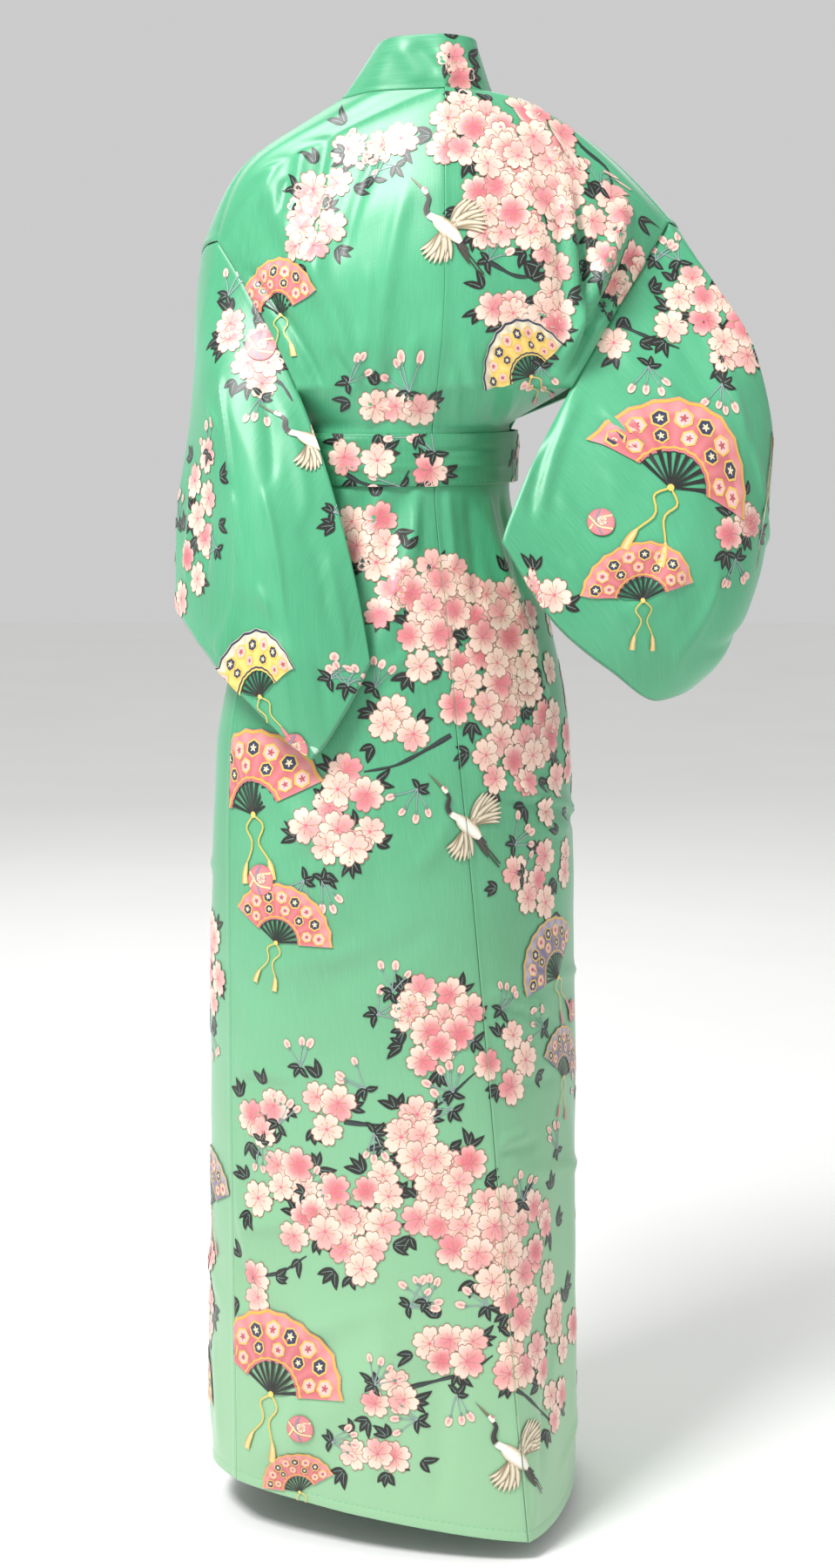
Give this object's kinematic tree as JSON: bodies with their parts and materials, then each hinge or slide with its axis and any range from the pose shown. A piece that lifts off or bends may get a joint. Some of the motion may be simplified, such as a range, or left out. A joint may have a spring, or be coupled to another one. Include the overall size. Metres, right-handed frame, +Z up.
{
  "type": "kimono",
  "caption": "Full-length kimono robe of printed satin cloth, wrapped and tied with a narrow belt, with a standing neck band and hanging sleeves, in its worn shape.",
  "frame": {"origin": "middle of the neck opening, at the height of the nape seam, where the wearer's neck and shoulders hold the robe", "axes": "+Z up along the wearer, the front faces -Y, the wearer's left is +X"},
  "size_m": [0.5894, 0.3788, 1.4494],
  "materials": {
    "sateen": "printed sateen with a soft sheen",
    "collar": "the same printed sateen, folded double",
    "belt": "the same printed sateen, folded double and pressed"
  },
  "bodies": {
    "root": {"back_left_lower": "sateen", "back_left_middle": "sateen", "back_left_upper": "sateen", "back_right_lower": "sateen", "back_right_middle": "sateen", "back_right_upper": "sateen", "front_left_lower": "sateen", "front_left_middle": "sateen", "front_left_upper": "sateen", "front_right_lower": "sateen", "front_right_middle": "sateen", "front_right_upper": "sateen", "overlap_left_lower": "sateen", "overlap_left_middle": "sateen", "overlap_left_hip": "sateen", "overlap_left_upper": "sateen", "overlap_right_lower": "sateen", "overlap_right_middle": "sateen", "overlap_right_hip": "sateen", "overlap_right_upper": "sateen", "sleeve_left": "sateen", "sleeve_right": "sateen", "collar_left": "collar", "collar_nape": "collar", "collar_right": "collar", "belt": "belt", "belt_knot": "belt", "belt_end_left": "belt", "belt_end_right": "belt"}
  },
  "joints": []
}
